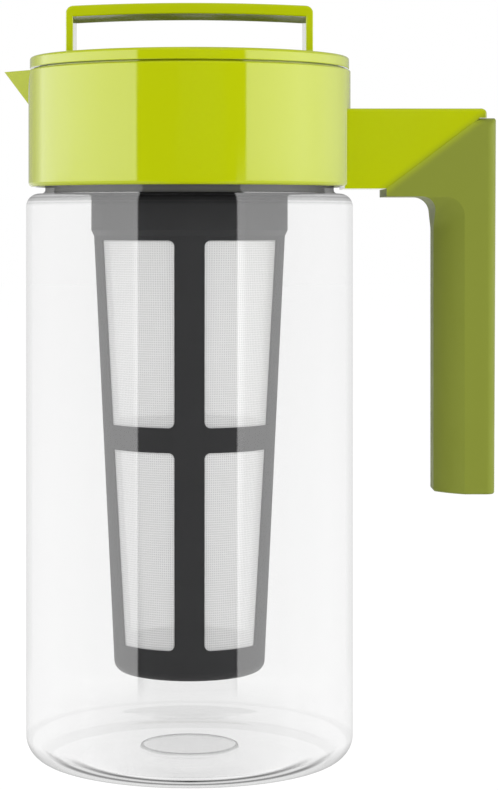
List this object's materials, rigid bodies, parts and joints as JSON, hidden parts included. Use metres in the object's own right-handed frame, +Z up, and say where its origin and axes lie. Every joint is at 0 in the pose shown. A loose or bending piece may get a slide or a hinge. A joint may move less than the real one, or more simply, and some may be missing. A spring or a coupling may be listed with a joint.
{
  "type": "iced tea maker",
  "caption": "Clear straight-sided jug with a spouted collar, gripped side handle, turn-to-pour lid with a strap handle, and a screw-on mesh infuser.",
  "frame": {"origin": "centre of the jug's base, on the surface that it stands on", "axes": "+Z up along the jug's axis, +X towards the handle, the spout at -X"},
  "size_m": [0.1718, 0.115, 0.2644],
  "materials": {
    "clear_copolyester": "gloss, clear",
    "lime_abs": "gloss",
    "olive_silicone": "matt",
    "charcoal_polypropylene": "satin",
    "charcoal_silicone": "matt",
    "clear_silicone": "matt, translucent",
    "nylon_mesh": "fine plain weave"
  },
  "bodies": {
    "jug": {"jug_shell": "clear_copolyester", "neck_gasket": "clear_silicone", "pour_collar": "lime_abs", "grip_core": "lime_abs", "grip_sleeve": "olive_silicone"},
    "lid_seals": {"plug_gasket": "charcoal_silicone", "rim_seal": "charcoal_silicone"},
    "lid": {"lid_cap": "lime_abs", "lid_handle": "lime_abs", "lid_plug": "charcoal_polypropylene", "shutoff_pad": "charcoal_silicone"},
    "infuser_seal": {"infuser_washer": "charcoal_silicone"},
    "infuser": {"infuser_ring": "charcoal_polypropylene", "infuser_cage": "charcoal_polypropylene", "infuser_mesh": "nylon_mesh"}
  },
  "joints": [
    {"name": "lid_lift", "type": "slide", "parent": "jug", "child": "lid_seals", "axis": [0, 0, 1], "range_m": [0, 0.215]},
    {"name": "lid_turn", "type": "hinge", "parent": "lid_seals", "child": "lid", "pos_m": [0, 0, 0.22], "axis": [0, 0, 1], "range_deg": [0, 90]},
    {"name": "infuser_drop", "type": "slide", "parent": "lid", "child": "infuser_seal", "axis": [0, 0, -1], "range_m": [0, 0.0081]},
    {"name": "infuser_unscrew", "type": "hinge", "parent": "infuser_seal", "child": "infuser", "pos_m": [0, 0, 0.2], "axis": [0, 0, -1], "range_deg": [0, 720]}
  ],
  "couplings": [
    {"joint": "infuser_drop", "follows": "infuser_unscrew", "m_per_rad": 0.00063662}
  ]
}
